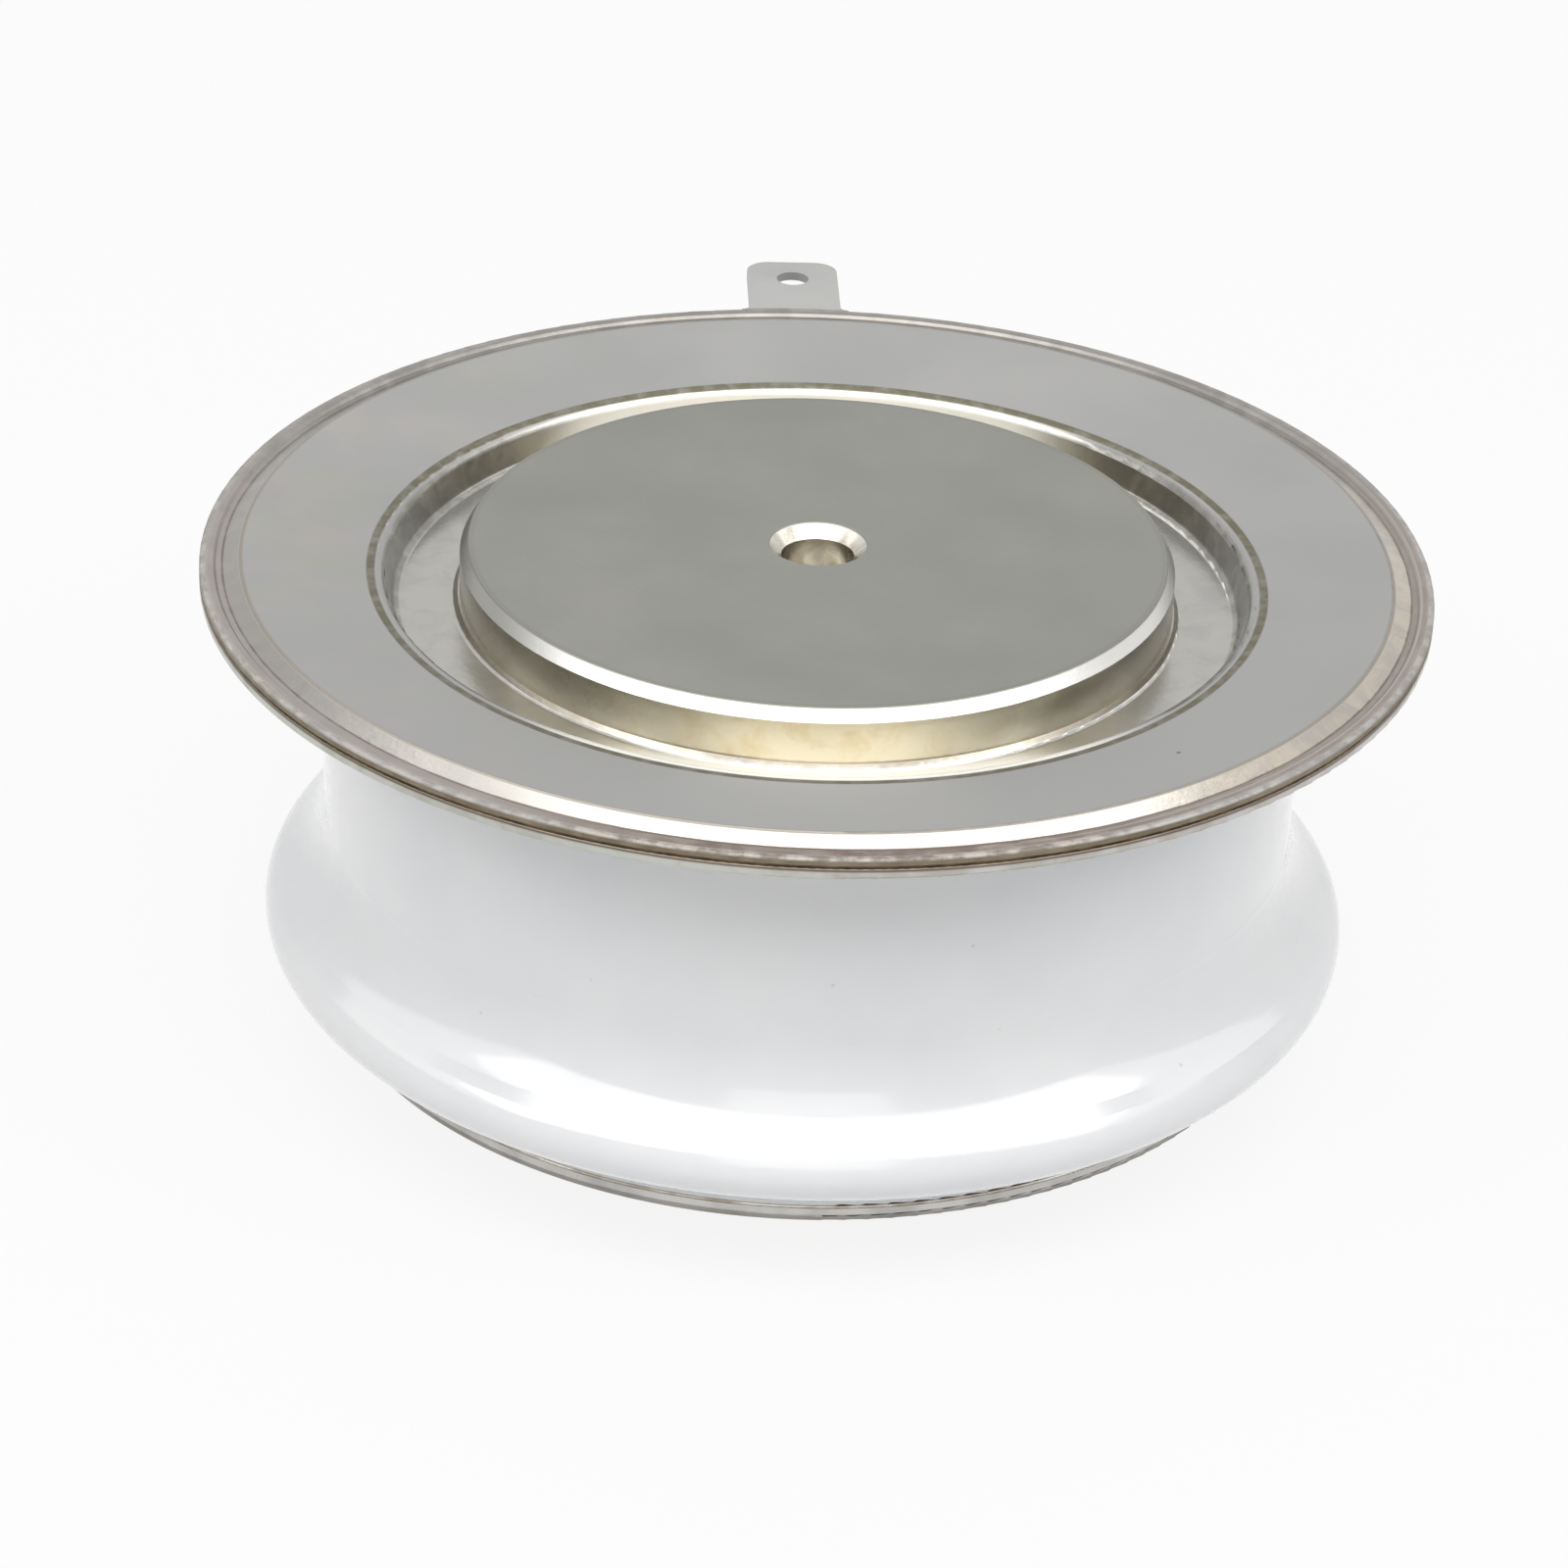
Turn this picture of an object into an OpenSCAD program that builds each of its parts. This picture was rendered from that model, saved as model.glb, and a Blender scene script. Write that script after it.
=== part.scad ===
// Disc thyristor in a press-contact ceramic capsule.
// The origin is the centre of the anode pole face, +Z points to the cathode, +Y to the cathode tab.

/* [Poles] */
// Height over the two pole faces
height = 26; // [23:0.1:30]
// Diameter of the copper poles
pole_d = 34; // [30:0.5:38]
// Radial width of the chamfer round a pole face
pole_chamfer_w = 0.4; // [0.2:0.1:0.8]
// Height of the chamfer round a pole face
pole_chamfer_h = 0.6; // [0.2:0.1:1]
// Width of the shoulder that a flange is brazed on
pole_step_w = 0.9; // [0.4:0.1:1.2]
// Height of that shoulder
pole_step_h = 0.8; // [0.5:0.1:1.2]
// Height of the cathode face above the lid's plate
pole_stand = 0.34; // [0.2:0.02:1.5]
// Diameter of the centring hole in each pole face
centring_d = 3.5; // [3:0.1:4]
// Depth of the centring hole's straight wall
centring_depth = 2; // [1.5:0.1:3.5]
// Diameter of the countersink at the hole's mouth
centring_mouth_d = 4.7; // [4.2:0.1:5.5]

/* [Ceramic ring] */
// Radial room between the poles and the straight bore
bore_room = 4.2; // [3.8:0.1:5]
// Radial width of the lower end face
foot_w = 2.2; // [1.8:0.05:2.3]
// Height of the straight collar above the lower end face
collar_h = 1; // [0.7:0.05:1.4]
// Radius of the fillet between collar and shoulder
collar_r = 0.5; // [0.3:0.05:0.6]
// Wall of the straight neck under the rim
neck_wall = 2.3; // [2:0.05:2.8]
// How far the shoulder stands out from the neck
shoulder_out = 2.9; // [2.6:0.05:3.2]
// Radius of the hollow between neck and shoulder
hollow_r = 5; // [4:0.1:5.6]
// Radius of the rounded shoulder
shoulder_r = 1.6; // [1.4:0.05:1.9]
// Slope of the flare between hollow and shoulder, in degrees from the axis
flare_deg = 50; // [45:0.5:55]
// Slope of the under side between collar and shoulder, in degrees from the axis
under_deg = 70; // [64:0.5:76]

/* [Cathode flanges] */
// Diameter of the welded rim
rim_d = 58.5; // [56:0.1:64]
// Width of the welded rim, outside the lid's plate
rim_w = 1.98; // [1.8:0.02:2.4]
// Thickness of the lid where its rim is pressed flat
rim_t = 0.43; // [0.34:0.01:0.5]
// Thickness of the lid's sheet
lid_t = 0.45; // [0.3:0.05:0.6]
// Thickness of the weld flange's sheet
weld_t = 0.58; // [0.5:0.01:0.7]
// Rise of the weld flange from the ceramic to the rim
weld_rise = 0.88; // [0.7:0.01:1.1]
// How far the weld flange's flat seat reaches beyond the ceramic's neck
weld_seat_w = 0.2; // [0.1:0.05:0.5]
// How far inside the plate's edge the weld flange reaches the rim's level
weld_inset = 0.47; // [0.3:0.01:0.6]
// Fall of the plate from its edge to the trough
plate_fall = 0.86; // [0.6:0.02:1]
// Depth of the trough round the pole, below the plate's lip
trough_depth = 1.7; // [1.2:0.02:2]
// Slant of the trough's wall, outwards from floor to lip
trough_slant = 0.5; // [0.2:0.05:0.8]
// Radius of the bend at the trough's lip
lip_r = 0.65; // [0.4:0.05:0.8]
// Radius of the bend at the trough's floor
floor_r = 0.4; // [0.2:0.05:0.6]
// Radius of the braze fillet round the pole's foot
braze_r = 0.2; // [0.15:0.05:0.4]
// Width of the press mark between plate and rim
mark_w = 0.3; // [0.2:0.02:0.4]
// Depth of the press mark below the rim's face
mark_depth = 0.13; // [0.05:0.01:0.18]

/* [Anode flange] */
// Distance from the anode face to the backing ring
anode_standoff = 3.15; // [2:0.05:3.5]
// Thickness of the backing ring
backing_t = 0.32; // [0.25:0.01:0.5]
// Radial width of the backing ring
backing_w = 2.1; // [1.4:0.05:2.2]
// Thickness of the anode flange's sheet
anode_t = 0.33; // [0.25:0.01:0.5]
// Width of the anode flange's rim, outside the ceramic's bore
anode_rim_w = 2.3; // [2.2:0.05:3]

/* [Terminal tabs] */
// Width of a push-on tab
tab_w = 4.8; // [4.6:0.1:6.3]
// Length of the cathode tab beyond the rim
tab_len = 6.2; // [5.5:0.1:9]
// Radius of a tab's outer corners
tab_corner_r = 1.2; // [0.6:0.1:1.6]
// Radius of the fillets at the cathode tab's root
tab_root_r = 0.4; // [0.2:0.05:0.8]
// Diameter of the latch hole in a tab
tab_hole_d = 1.7; // [1.2:0.1:1.9]
// Distance from a tab's end to its latch hole
tab_hole_back = 2.2; // [2:0.1:2.8]

/* [Junction stack] */
// How far the silicon wafer and the anode disc reach beyond the poles
wafer_over = 2.05; // [1.75:0.05:2.5]
// Thickness of the silicon wafer
wafer_t = 0.5; // [0.35:0.05:0.8]
// Width of the bevel ground round the wafer's edge
wafer_bevel = 0.75; // [0.4:0.05:0.8]
// Thickness of the molybdenum disc under the wafer
anode_disc_t = 2; // [1.5:0.1:2.4]
// Thickness of the molybdenum disc on the wafer
cathode_disc_t = 1.5; // [1.2:0.1:2]
// Thickness of the silver shims
shim_t = 0.15; // [0.1:0.01:0.2]
// Diameter of the gate opening in the cathode disc and shim
gate_window_d = 4.4; // [3.6:0.1:5]
// Height of the silicone rubber on the wafer's edge
rubber_h = 0.8; // [0.5:0.05:1]

/* [Gate contact] */
// Angle of the gate terminal from the cathode tab, in degrees
gate_deg = -20; // [-30:1:-15]
// Diameter of the gate bore in the cathode pole
gate_bore_d = 6; // [5.6:0.1:7]
// Depth of the gate bore
gate_bore_depth = 6; // [5.6:0.1:8]
// Height of the gate lead above the cathode pole's inner face
lead_rise = 1.6; // [1.5:0.05:1.8]
// Diameter of the gate lead
lead_d = 0.8; // [0.6:0.05:0.9]
// Wall of the lead's insulating sleeve
sleeve_wall = 0.3; // [0.2:0.02:0.4]
// Diameter of the gate pin
pin_d = 2; // [1.6:0.1:2.2]
// Diameter of the gate pin's head
pin_head_d = 3; // [2.8:0.1:3.2]
// Height of the gate pin's head
pin_head_h = 1.3; // [1.1:0.05:1.5]
// Thickness of a disc spring's sheet
spring_t = 0.3; // [0.2:0.02:0.4]
// Diameter of a disc spring's hole
spring_hole_d = 1.3; // [1:0.1:1.5]
// Thickness of the insulating cup's closed end
cup_end_t = 1; // [0.8:0.1:1.4]
// Outer diameter of the gate tube
tube_d = 2.2; // [2:0.1:2.4]
// Outer diameter of the ferrule round the gate tube
ferrule_d = 5; // [4.4:0.1:5.6]
// Thickness of the ferrule
ferrule_t = 0.8; // [0.6:0.05:1.2]
// Depth of the ferrule's seat below the neck's surface
ferrule_seat = 0.5; // [0.3:0.05:0.7]
// Length of the gate tab's barrel on the tube
barrel_len = 2.4; // [2:0.1:3]
// Wall of that barrel
barrel_wall = 0.6; // [0.4:0.05:0.8]
// Thickness of the gate tab's blade
blade_t = 0.5; // [0.4:0.05:0.8]
// Length of the gate tab's blade beyond its barrel
blade_len = 6.8; // [6:0.1:9]

/* [Fits] */
// Gap between a flange's trough and the ceramic bore
trough_gap = 0.12; // [0.05:0.01:0.25]
// Gap round the pieces of the junction stack
stack_gap = 0.1; // [0.05:0.01:0.15]
// Gap round the gate pieces
gate_gap = 0.08; // [0.04:0.01:0.1]
// Braze gap round the gate tube
braze_gap = 0.02; // [0.01:0.005:0.05]

/* [Hidden] */
$fn = 128;

copper = [0.80, 0.52, 0.38];
nickel = [0.68, 0.67, 0.65];
glaze = [0.93, 0.94, 0.95];
molybdenum = [0.55, 0.56, 0.58];
silver = [0.86, 0.86, 0.84];
silicon = [0.30, 0.31, 0.36];
rubber = [0.80, 0.78, 0.70];
fluoropolymer = [0.94, 0.93, 0.90];
spring_steel = [0.62, 0.63, 0.64];

// Small cut so that one shape passes cleanly through another
cut = 1;
// Edge break on the turned and pressed discs
edge = 0.2;
// Angle of a drill's point
drill_deg = 118;
// Slope of the countersink, from the axis
sink_deg = 45;
// Number of disc springs stacked face to face
spring_count = 4;
// Rise of the lid's plate above the welded rim, beyond its own thickness
plate_lift = 0.23;
// Slope of the press mark's inner side, from the axis
press_deg = 67;
// Radius of the tight side of a bend at a trough's lip
inner_bend_r = 0.2;
// Rounding of the welded rim's outer edges
rim_round = 0.14;
// Edge break on both sides of the weld seam
seam_break = 0.1;
// Overlap of a corner's rounding with the outline that it rounds
bow_lap = 0.02;
// Length of the gate tube inside the ceramic bore
tube_inset = 0.8;

// Radii
pole_r = pole_d / 2;
bore_r = pole_r + bore_room;
foot_r = bore_r + foot_w;
neck_r = bore_r + neck_wall;
ceramic_r = neck_r + shoulder_out;
anode_rim_r = bore_r + anode_rim_w;
rim_r = rim_d / 2;
plate_r = rim_r - rim_w;
wafer_r = pole_r + wafer_over;
sleeve_r = lead_d / 2 + gate_gap / 2 + sleeve_wall;
channel_r = sleeve_r + gate_gap;

// Heights of the capsule, from the anode face up
backing_z = anode_standoff;
anode_rim_z = backing_z + backing_t;
ceramic_z = anode_rim_z + anode_t;
plate_z = height - pole_stand;
seam_z = plate_z - plate_lift - lid_t;
rim_top = seam_z + rim_t;
ceramic_top = seam_z - weld_rise - weld_t;
ceramic_h = ceramic_top - ceramic_z;
middle_z = ceramic_z + ceramic_h / 2;
lip_z = plate_z - plate_fall;
floor_z = lip_z - trough_depth;

// Heights of the junction stack, from the cathode pole's inner face down
lead_z = middle_z;
cathode_z = lead_z - lead_rise;
cathode_shim_z = cathode_z - shim_t;
cathode_disc_z = cathode_shim_z - cathode_disc_t;
wafer_z = cathode_disc_z - wafer_t;
anode_disc_z = wafer_z - anode_disc_t;
anode_shim_z = anode_disc_z - shim_t;

// Trough walls, set in from the ceramic bore
lid_trough_r = bore_r - trough_gap - lid_t;
anode_trough_r = bore_r - trough_gap - anode_t;
anode_floor_z = anode_rim_z + trough_depth;

// Gate pieces, from the wafer up and from the axis out
head_z = lead_z - pin_head_h / 2;
spring_z = head_z + pin_head_h;
gate_bore_top = cathode_z + gate_bore_depth;
cup_roof = gate_bore_top - cup_end_t;
cup_r = gate_bore_d / 2 - gate_gap;
cup_bore_r = pin_head_d / 2 + gate_gap;
tube_in = bore_r - tube_inset;
ferrule_at = neck_r - ferrule_seat;
barrel_at = ferrule_at + ferrule_t;
tube_out = barrel_at + barrel_len;
blade_end = tube_out + blade_len;

function unit(v) = v / norm(v);
function turn(a, b) = a.x * b.y - a.y * b.x;
function normal(a, b) = unit([a.y - b.y, b.x - a.x]);

// Corner b of the path a, b, c, moved to the left by t with both its sides
function mitre(a, b, c, t) =
  let (m = normal(a, b), n = normal(b, c))
  b + (m + n) * t / (1 + m * n);

// Distance from corner q to the two points where a round of radius r touches its sides
function reach(p, q, s, r) = r / tan(acos(unit(p - q) * unit(s - q)) / 2);

function previous(list, i) = list[(i + len(list) - 1) % len(list)];
function next(list, i) = list[(i + 1) % len(list)];

// Outline with each rounded corner replaced by its two touching points
function touching(points, radii) = [
  for (i = [0 : len(points) - 1])
    let (p = previous(points, i), q = points[i], s = next(points, i))
    let (d = radii[i] > 0 ? reach(p, q, s, radii[i]) : 0)
    each radii[i] > 0 ? [q + d * unit(p - q), q + d * unit(s - q)] : [q]
];

// The sliver between a rounded corner's arc and its chord
module bow(p, q, s, r) {
  d = reach(p, q, s, r);
  a = q + d * unit(p - q);
  b = q + d * unit(s - q);
  middle = (a + b) / 2;
  out = unit(q - middle);
  centre = q - out * norm([d, r]);
  intersection() {
    translate(centre) circle(r);
    polygon([a, middle - bow_lap * out, b, b + 2 * r * out, a + 2 * r * out]);
  }
}

// The bows of all corners that turn one way: 1 is left, -1 is right
module bows(points, radii, way) {
  for (i = [0 : len(points) - 1]) {
    p = previous(points, i);
    q = points[i];
    s = next(points, i);
    if (radii[i] > 0 && way * turn(q - p, s - q) > 0) bow(p, q, s, radii[i]);
  }
}

// Anticlockwise outline with true round corners; each point is [x, y, corner radius]
module rounded(outline) {
  points = [for (c = outline) [c.x, c.y]];
  radii = [for (c = outline) c.z];
  difference() {
    union() {
      polygon(touching(points, radii));
      bows(points, radii, 1);
    }
    bows(points, radii, -1);
  }
}

module turned(outline) {
  rotate_extrude() rounded(outline);
}

// Flat ring between two radii
module ring(inner_r, outer_r, z, h, break = 0) {
  turned([[inner_r, z, break], [outer_r, z, break], [outer_r, z + h, break], [inner_r, z + h, break]]);
}

// Children drawn along +X are turned to the gate's direction at the lead's height
module at_gate() {
  rotate([0, 0, 90 + gate_deg]) translate([0, 0, lead_z]) children();
}

// Round bar along the gate's direction, between two distances from the axis
module gate_bar(r, from, to) {
  at_gate() translate([from, 0, 0]) rotate([0, 90, 0]) cylinder(r = r, h = to - from);
}

// Blade outline along +X with rounded outer corners and its latch hole
module blade(from, to) {
  difference() {
    rounded([[from, -tab_w / 2, 0], [to, -tab_w / 2, tab_corner_r],
             [to, tab_w / 2, tab_corner_r], [from, tab_w / 2, 0]]);
    translate([to - tab_hole_back, 0]) circle(d = tab_hole_d);
  }
}

// Centring hole that opens at z = 0 and runs up, with its countersink and drill point
module centring_hole() {
  hole_r = centring_d / 2;
  sink_h = (centring_mouth_d - centring_d) / 2 / tan(sink_deg);
  wall_top = sink_h + centring_depth;
  point_h = hole_r / tan(drill_deg / 2);
  rotate_extrude()
    polygon([[0, -cut], [centring_mouth_d / 2, -cut], [centring_mouth_d / 2, 0], [hole_r, sink_h],
             [hole_r, wall_top], [0, wall_top + point_h]]);
}

// Copper pole standing on its outer face at z = 0: chamfered face, flange seat at seat_z, inner face at h
module pole(seat_z, h) {
  step_r = pole_r + pole_step_w;
  step_top = seat_z + pole_step_h;
  difference() {
    turned([[0, 0, 0], [pole_r - pole_chamfer_w, 0, 0], [pole_r, pole_chamfer_h, 0], [pole_r, seat_z, 0],
            [step_r, seat_z, 0], [step_r, step_top, 0], [pole_r, step_top, 0],
            [pole_r, h - edge, 0], [pole_r - edge, h, 0], [0, h, 0]]);
    centring_hole();
  }
}

// Insulator with a straight neck, a hollow, one rounded shoulder and a collar at its foot; the gate tube's
// hole and flat seat are in the neck
module ceramic_ring() {
  collar = [foot_r, ceramic_z + collar_h];
  shoulder_axis = ceramic_r - shoulder_r;
  // Height of the shoulder's centre, where the under side just touches the shoulder
  shoulder_z = collar.y + (shoulder_r + (shoulder_axis - collar.x) * cos(under_deg)) / sin(under_deg);
  // The flare touches the shoulder and meets the neck at this height
  flare_top = shoulder_z + (shoulder_r + (shoulder_axis - neck_r) * cos(flare_deg)) / sin(flare_deg);
  // Flare and under side meet at the shoulder's sharp corner
  along = (neck_r - collar.x + (flare_top - collar.y) * tan(flare_deg)) / (tan(under_deg) + tan(flare_deg));
  corner = collar + along * [tan(under_deg), 1];
  color(glaze) difference() {
    turned([
      [bore_r, ceramic_z, edge], [foot_r, ceramic_z, edge], [collar.x, collar.y, collar_r],
      [corner.x, corner.y, shoulder_r], [neck_r, flare_top, hollow_r], [neck_r, ceramic_top, edge],
      [bore_r, ceramic_top, edge]]);
    gate_bar(tube_d / 2 + braze_gap, bore_r - cut, rim_r);
    gate_bar(ferrule_d / 2 + braze_gap, ferrule_at, rim_r);
  }
}

// Upper pole, with the gate bore and the lead's channel in its inner face
module cathode_pole() {
  color(nickel) difference() {
    translate([0, 0, height]) mirror([0, 0, 1]) pole(height - floor_z + lid_t, height - cathode_z);
    translate([0, 0, cathode_z - cut]) cylinder(d = gate_bore_d, h = gate_bore_depth + cut);
    gate_channel(pole_r + pole_step_w + cut);
  }
}

// Round-topped channel from the axis out, open downwards
module gate_channel(to) {
  drop = lead_z - cathode_z + cut;
  gate_bar(channel_r, 0, to);
  at_gate() translate([0, -channel_r, -drop]) cube([to, 2 * channel_r, drop]);
}

module anode_pole() {
  color(nickel) pole(anode_floor_z + anode_t, anode_shim_z);
}

// Lid of bent sheet: from the pole's foot through trough and dished plate to the pressed rim
module cathode_flange() {
  a = [pole_r, floor_z];
  b = [lid_trough_r - trough_slant, floor_z];
  c = [lid_trough_r, lip_z];
  d = [plate_r, plate_z];
  mark_z = rim_top - mark_depth;
  mark_in = plate_r + (plate_z - mark_z) * tan(press_deg);
  below_b = mitre(a, b, c, -lid_t);
  below_c = mitre(b, c, d, -lid_t);
  below_d = mitre(c, d, [mark_in, mark_z], -lid_t);
  seam_r = below_d.x + (below_d.y - seam_z) * tan(press_deg);
  braze_toe = braze_r + edge / 2;
  color(nickel) {
    turned([
      [a.x, a.y - lid_t, 0], [below_b.x, below_b.y, floor_r + lid_t], [below_c.x, below_c.y, inner_bend_r],
      [below_d.x, below_d.y, inner_bend_r], [seam_r, seam_z, 0], [rim_r - seam_break, seam_z, 0],
      [rim_r, seam_z + seam_break, 0], [rim_r, rim_top, rim_round],
      [mark_in + mark_w + mark_depth, rim_top, 0], [mark_in + mark_w, mark_z, 0], [mark_in, mark_z, 0],
      [d.x, d.y, lip_r / 2], [c.x, c.y, lip_r], [b.x, b.y, floor_r],
      [a.x + braze_toe, a.y, braze_r], [a.x + braze_toe - braze_r, a.y + braze_toe, 0],
      [a.x, a.y + braze_toe, 0]]);
    cathode_tab();
  }
}

// Push-on tab of the lid's own sheet, level with the rim and filleted into it
module cathode_tab() {
  root_r = rim_r - rim_t;
  half = tab_w / 2;
  fillet_at = sqrt(pow(rim_r + tab_root_r, 2) - pow(half + tab_root_r, 2));
  rotate([0, 0, 90]) translate([0, 0, rim_top - lid_t]) difference() {
    union() {
      linear_extrude(lid_t) blade(root_r, rim_r + tab_len);
      linear_extrude(lid_t) difference() {
        translate([root_r - tab_root_r, -half - tab_root_r])
          square([fillet_at - root_r + tab_root_r, tab_w + 2 * tab_root_r]);
        for (side = [-1, 1])
          translate([fillet_at, side * (half + tab_root_r)]) circle(tab_root_r);
      }
    }
    // The weld flange's rim lies under the lid's rim
    translate([0, 0, -cut]) cylinder(r = rim_r, h = lid_t - rim_t + cut);
    cylinder(r = root_r, h = lid_t);
  }
}

// Brazed to the ceramic's upper end, cone out to the flat rim that carries the lid
module weld_flange() {
  a = [bore_r, ceramic_top + weld_t];
  b = [neck_r + weld_seat_w, a.y];
  c = [plate_r - weld_inset, seam_z];
  d = [rim_r, seam_z];
  below_b = mitre(a, b, c, -weld_t);
  below_c = mitre(b, c, d, -weld_t);
  color(nickel) turned([
    [a.x, ceramic_top, 0], [below_b.x, below_b.y, floor_r], [below_c.x, below_c.y, floor_r],
    [d.x, below_c.y, rim_round], [d.x, d.y - seam_break, 0], [d.x - seam_break, d.y, 0],
    [c.x, c.y, floor_r], [b.x, b.y, floor_r], [a.x, a.y, 0]]);
}

// Brazed between the ceramic's lower end and the backing ring, with a trough round the anode pole
module anode_flange() {
  a = [anode_rim_r, anode_rim_z];
  b = [anode_trough_r, anode_rim_z];
  c = [anode_trough_r - trough_slant, anode_floor_z];
  d = [pole_r, anode_floor_z];
  above_b = mitre(a, b, c, -anode_t);
  above_c = mitre(b, c, d, -anode_t);
  color(nickel) turned([
    [d.x, d.y, 0], [c.x, c.y, floor_r], [b.x, b.y, lip_r], [a.x, a.y, 0], [a.x, a.y + anode_t, 0],
    [above_b.x, above_b.y, inner_bend_r], [above_c.x, above_c.y, floor_r + anode_t],
    [d.x, d.y + anode_t, 0]]);
}

module backing_ring() {
  color(nickel) ring(anode_rim_r - backing_w, anode_rim_r, backing_z, backing_t, edge / 2);
}

module anode_shim() {
  color(silver) ring(0, pole_r - edge, anode_shim_z, shim_t);
}

module anode_disc() {
  top = wafer_z;
  color(molybdenum) turned([
    [0, anode_disc_z, 0], [wafer_r - edge, anode_disc_z, 0], [wafer_r, anode_disc_z + edge, 0],
    [wafer_r, top, 0], [0, top, 0]]);
}

// Wafer with its edge ground to a bevel
module silicon_wafer() {
  top = wafer_z + wafer_t;
  color(silicon) turned([
    [0, wafer_z, 0], [wafer_r, wafer_z, 0], [wafer_r - wafer_bevel, top, 0], [0, top, 0]]);
}

// Cast silicone bead that covers the wafer's bevel
module edge_rubber() {
  top = wafer_z + wafer_t;
  inner_r = pole_r + stack_gap;
  bead_top = top + rubber_h;
  color(rubber) turned([
    [inner_r, top, 0], [wafer_r - wafer_bevel, top, 0], [wafer_r, wafer_z, 0],
    [wafer_r, bead_top, rubber_h / 2], [inner_r, bead_top, rubber_h / 3]]);
}

module cathode_disc() {
  outer_r = pole_r - edge;
  color(molybdenum) ring(gate_window_d / 2, outer_r, cathode_disc_z, cathode_disc_t, edge / 2);
}

module cathode_shim() {
  color(silver) ring(gate_window_d / 2, pole_r - edge, cathode_shim_z, shim_t);
}

// Stepped ring that centres discs and pole in the ceramic bore
module locating_ring() {
  outer_r = bore_r - stack_gap;
  disc_r = wafer_r + stack_gap;
  step_r = pole_r + stack_gap;
  step_z = wafer_z + wafer_t + rubber_h + stack_gap;
  top = lead_z - max(sleeve_r, tube_d / 2) - stack_gap;
  color(fluoropolymer) turned([
    [disc_r, anode_disc_z, 0], [outer_r, anode_disc_z, edge], [outer_r, top, edge], [step_r, top, 0],
    [step_r, step_z, 0], [disc_r, step_z, 0]]);
}

// Pin that presses on the wafer's centre, with a head for the springs and the lead
module gate_pin() {
  tip_z = wafer_z + wafer_t;
  color(silver) turned([
    [0, tip_z, 0], [pin_d / 2 - edge, tip_z, 0], [pin_d / 2, tip_z + edge, 0], [pin_d / 2, head_z, 0],
    [pin_head_d / 2, head_z, 0], [pin_head_d / 2, spring_z, 0], [0, spring_z, 0]]);
}

// Dished washers stacked in opposite pairs between the pin's head and the cup's roof
module gate_springs() {
  pitch = (cup_roof - spring_z) / spring_count;
  inner_r = spring_hole_d / 2;
  outer_r = pin_head_d / 2;
  color(spring_steel) for (i = [0 : spring_count - 1]) {
    // Even washers stand on their outer edge, odd ones on their inner edge
    lift = pitch - spring_t;
    inner_z = spring_z + i * pitch + (i % 2 == 0 ? lift : 0);
    outer_z = spring_z + i * pitch + (i % 2 == 0 ? 0 : lift);
    turned([[inner_r, inner_z, 0], [outer_r, outer_z, 0],
            [outer_r, outer_z + spring_t, 0], [inner_r, inner_z + spring_t, 0]]);
  }
}

// Insulating cup in the gate bore, slotted for the lead
module gate_cup() {
  color(fluoropolymer) difference() {
    turned([[cup_bore_r, cathode_z, 0], [cup_r, cathode_z, 0], [cup_r, gate_bore_top, edge],
            [0, gate_bore_top, 0], [0, cup_roof, 0], [cup_bore_r, cup_roof, 0]]);
    gate_channel(gate_bore_d);
  }
}

// Lead from the pin's head to the closed end of the gate tube
module gate_lead() {
  color(silver) difference() {
    gate_bar(lead_d / 2, 0, tube_out - barrel_wall);
    translate([0, 0, head_z]) cylinder(d = pin_head_d, h = pin_head_h);
  }
}

module gate_sleeve() {
  from = pin_head_d / 2 + gate_gap;
  to = tube_in - gate_gap;
  color(fluoropolymer) difference() {
    gate_bar(sleeve_r, from, to);
    gate_bar(lead_d / 2 + gate_gap / 2, from - cut, to + cut);
  }
}

// Brazed through the ceramic's wall and closed at its outer end
module gate_tube() {
  color(copper) difference() {
    gate_bar(tube_d / 2, tube_in, tube_out);
    gate_bar(lead_d / 2 + gate_gap / 2, tube_in - cut, tube_out - barrel_wall);
  }
}

module gate_ferrule() {
  color(nickel) difference() {
    gate_bar(ferrule_d / 2, ferrule_at, barrel_at);
    gate_bar(tube_d / 2 + braze_gap, ferrule_at - cut, barrel_at + cut);
  }
}

// Push-on tab with a barrel brazed over the gate tube
module gate_tab() {
  fit_r = tube_d / 2 + braze_gap;
  color(nickel) difference() {
    union() {
      gate_bar(fit_r + barrel_wall, barrel_at, tube_out);
      at_gate() translate([0, 0, -blade_t / 2])
        linear_extrude(blade_t) blade(barrel_at + barrel_len / 2, blade_end);
    }
    gate_bar(fit_r, barrel_at - cut, tube_out);
  }
}

ceramic_ring();
cathode_pole();
anode_pole();
cathode_flange();
weld_flange();
anode_flange();
backing_ring();
anode_shim();
anode_disc();
silicon_wafer();
edge_rubber();
cathode_disc();
cathode_shim();
locating_ring();
gate_pin();
gate_springs();
gate_cup();
gate_lead();
gate_sleeve();
gate_tube();
gate_ferrule();
gate_tab();
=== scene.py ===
from math import cos, radians, sin

import bpy
import numpy as np
from bpy.props import FloatProperty, FloatVectorProperty, IntProperty, PointerProperty
from bpy.types import Operator, Panel, PropertyGroup
from mathutils import Matrix, Vector


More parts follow.
